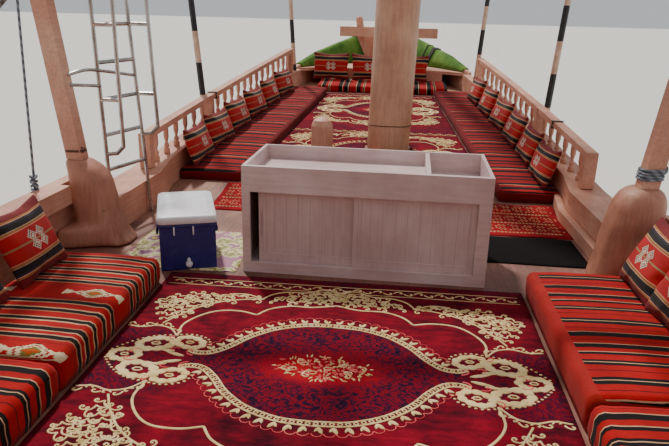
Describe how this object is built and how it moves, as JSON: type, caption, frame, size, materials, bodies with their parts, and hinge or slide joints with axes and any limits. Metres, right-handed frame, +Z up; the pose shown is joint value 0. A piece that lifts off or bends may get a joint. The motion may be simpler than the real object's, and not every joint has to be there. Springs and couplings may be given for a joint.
{
  "type": "dhow sailing boat",
  "caption": "Timber dhow with open carpeted decks, striped floor seating, turned balustrades, awning frame, mast with furled lateen sail, aft wheelhouse, rudder and propeller.",
  "frame": {"origin": "on the waterline plane, on the centreline amidships", "axes": "+Y towards the bow, +X to starboard, +Z up"},
  "size_m": [4.86, 20.335, 15.7745],
  "materials": {
    "painted_timber": "peach oil paint over sawn planks, semi-gloss",
    "mast_paint": "dusty peach oil paint over a solid trunk",
    "cabinet_paint": "off-white oil paint, semi-gloss",
    "bottom_paint": "red-brown bottom paint, matt",
    "turf": "green artificial turf",
    "striped_weave": "red woven cloth with black and cream stripes",
    "carpet": "crimson pile carpet with cream scrolls",
    "mesh": "black open mesh matting",
    "mat": "printed vinyl floor mat",
    "steel": "polished stainless tube",
    "bronze": "cast bronze, dull",
    "pole_paint": "black and pale paint in bands",
    "cool_blue": "dark blue moulded plastic",
    "cool_white": "white moulded plastic",
    "canvas": "cotton sailcloth",
    "rope": "grey synthetic rope",
    "spar_wood": "oiled timber"
  },
  "bodies": {
    "root": {"hull": "painted_timber", "keel_and_stem": "bottom_paint", "bulwark_port": "painted_timber", "bulwark_starboard": "painted_timber", "cap_rail_port": "painted_timber", "cap_rail_starboard": "painted_timber", "stern_board": "painted_timber", "sill_port": "painted_timber", "sill_starboard": "painted_timber", "balustrade_port": "painted_timber", "balustrade_starboard": "painted_timber", "bow_bulwark_port": "painted_timber", "bow_bulwark_starboard": "painted_timber", "turf_port": "turf", "turf_starboard": "turf", "bow_platform": "painted_timber", "bow_crossbeam": "painted_timber", "timber_head_port": "painted_timber", "timber_head_starboard": "painted_timber", "awning_frame": "painted_timber", "pole_fore_port": "pole_paint", "pole_fore_starboard": "pole_paint", "pole_bow_port": "pole_paint", "pole_bow_starboard": "pole_paint", "mast": "mast_paint", "samson_post": "painted_timber", "stays_port": "rope", "stays_starboard": "rope", "boarding_ladder": "steel", "cabinet": "cabinet_paint", "main_carpet": "carpet", "floral_mat": "mat", "mesh_mat": "mesh", "rug_port": "striped_weave", "rug_starboard": "striped_weave", "fore_carpet": "carpet", "seating_fore_port": "striped_weave", "seating_fore_starboard": "striped_weave", "seating_bow": "striped_weave", "seating_near_port": "striped_weave", "seating_near_starboard": "striped_weave", "cool_box": "cool_blue", "wheelhouse": "painted_timber", "wheelhouse_roof": "painted_timber"},
    "cabinet_door_left": {"cabinet_door_left": "cabinet_paint"},
    "cabinet_door_right": {"cabinet_door_right": "cabinet_paint"},
    "cool_box_lid": {"cool_box_lid": "cool_white"},
    "yard": {"yard": "spar_wood", "furled_sail": "canvas"},
    "wheelhouse_door": {"wheelhouse_door": "painted_timber"},
    "helm_wheel": {"helm_wheel": "spar_wood"},
    "rudder": {"rudder": "painted_timber"},
    "propeller": {"propeller": "bronze"}
  },
  "joints": [
    {"name": "rudder_turn", "type": "hinge", "parent": "root", "child": "rudder", "pos_m": [0, -9.11, 0], "axis": [0, 0, 1], "range_deg": [-35, 35]},
    {"name": "propeller_spin", "type": "hinge", "parent": "root", "child": "propeller", "pos_m": [0, -8.33, -0.88], "axis": [0, 1, 0], "continuous": true},
    {"name": "helm_wheel_turn", "type": "hinge", "parent": "root", "child": "helm_wheel", "pos_m": [0.76, -5.1, 1.97], "axis": [0, 1, 0], "range_deg": [-350, 350]},
    {"name": "wheelhouse_door_swing", "type": "hinge", "parent": "root", "child": "wheelhouse_door", "pos_m": [-0.953, -4.686, 1.9], "axis": [0, 0, 1], "range_deg": [0, 100]},
    {"name": "cabinet_door_left_slide", "type": "slide", "parent": "root", "child": "cabinet_door_left", "axis": [0.9998, -0.0223, 0], "range_m": [-0.055, 0.66]},
    {"name": "cabinet_door_right_slide", "type": "slide", "parent": "root", "child": "cabinet_door_right", "axis": [0.9998, -0.0223, 0], "range_m": [-0.69, 0]},
    {"name": "cool_box_lid_swing", "type": "hinge", "parent": "root", "child": "cool_box_lid", "pos_m": [-1.22905, 1.19914, 1.2716], "axis": [-0.9428, -0.3335, 0], "range_deg": [0, 100]},
    {"name": "yard_slew", "type": "hinge", "parent": "root", "child": "yard", "pos_m": [0.37038, 4.12, 8.3], "axis": [0.0225, 0, 0.9997], "range_deg": [-30, 30]}
  ]
}
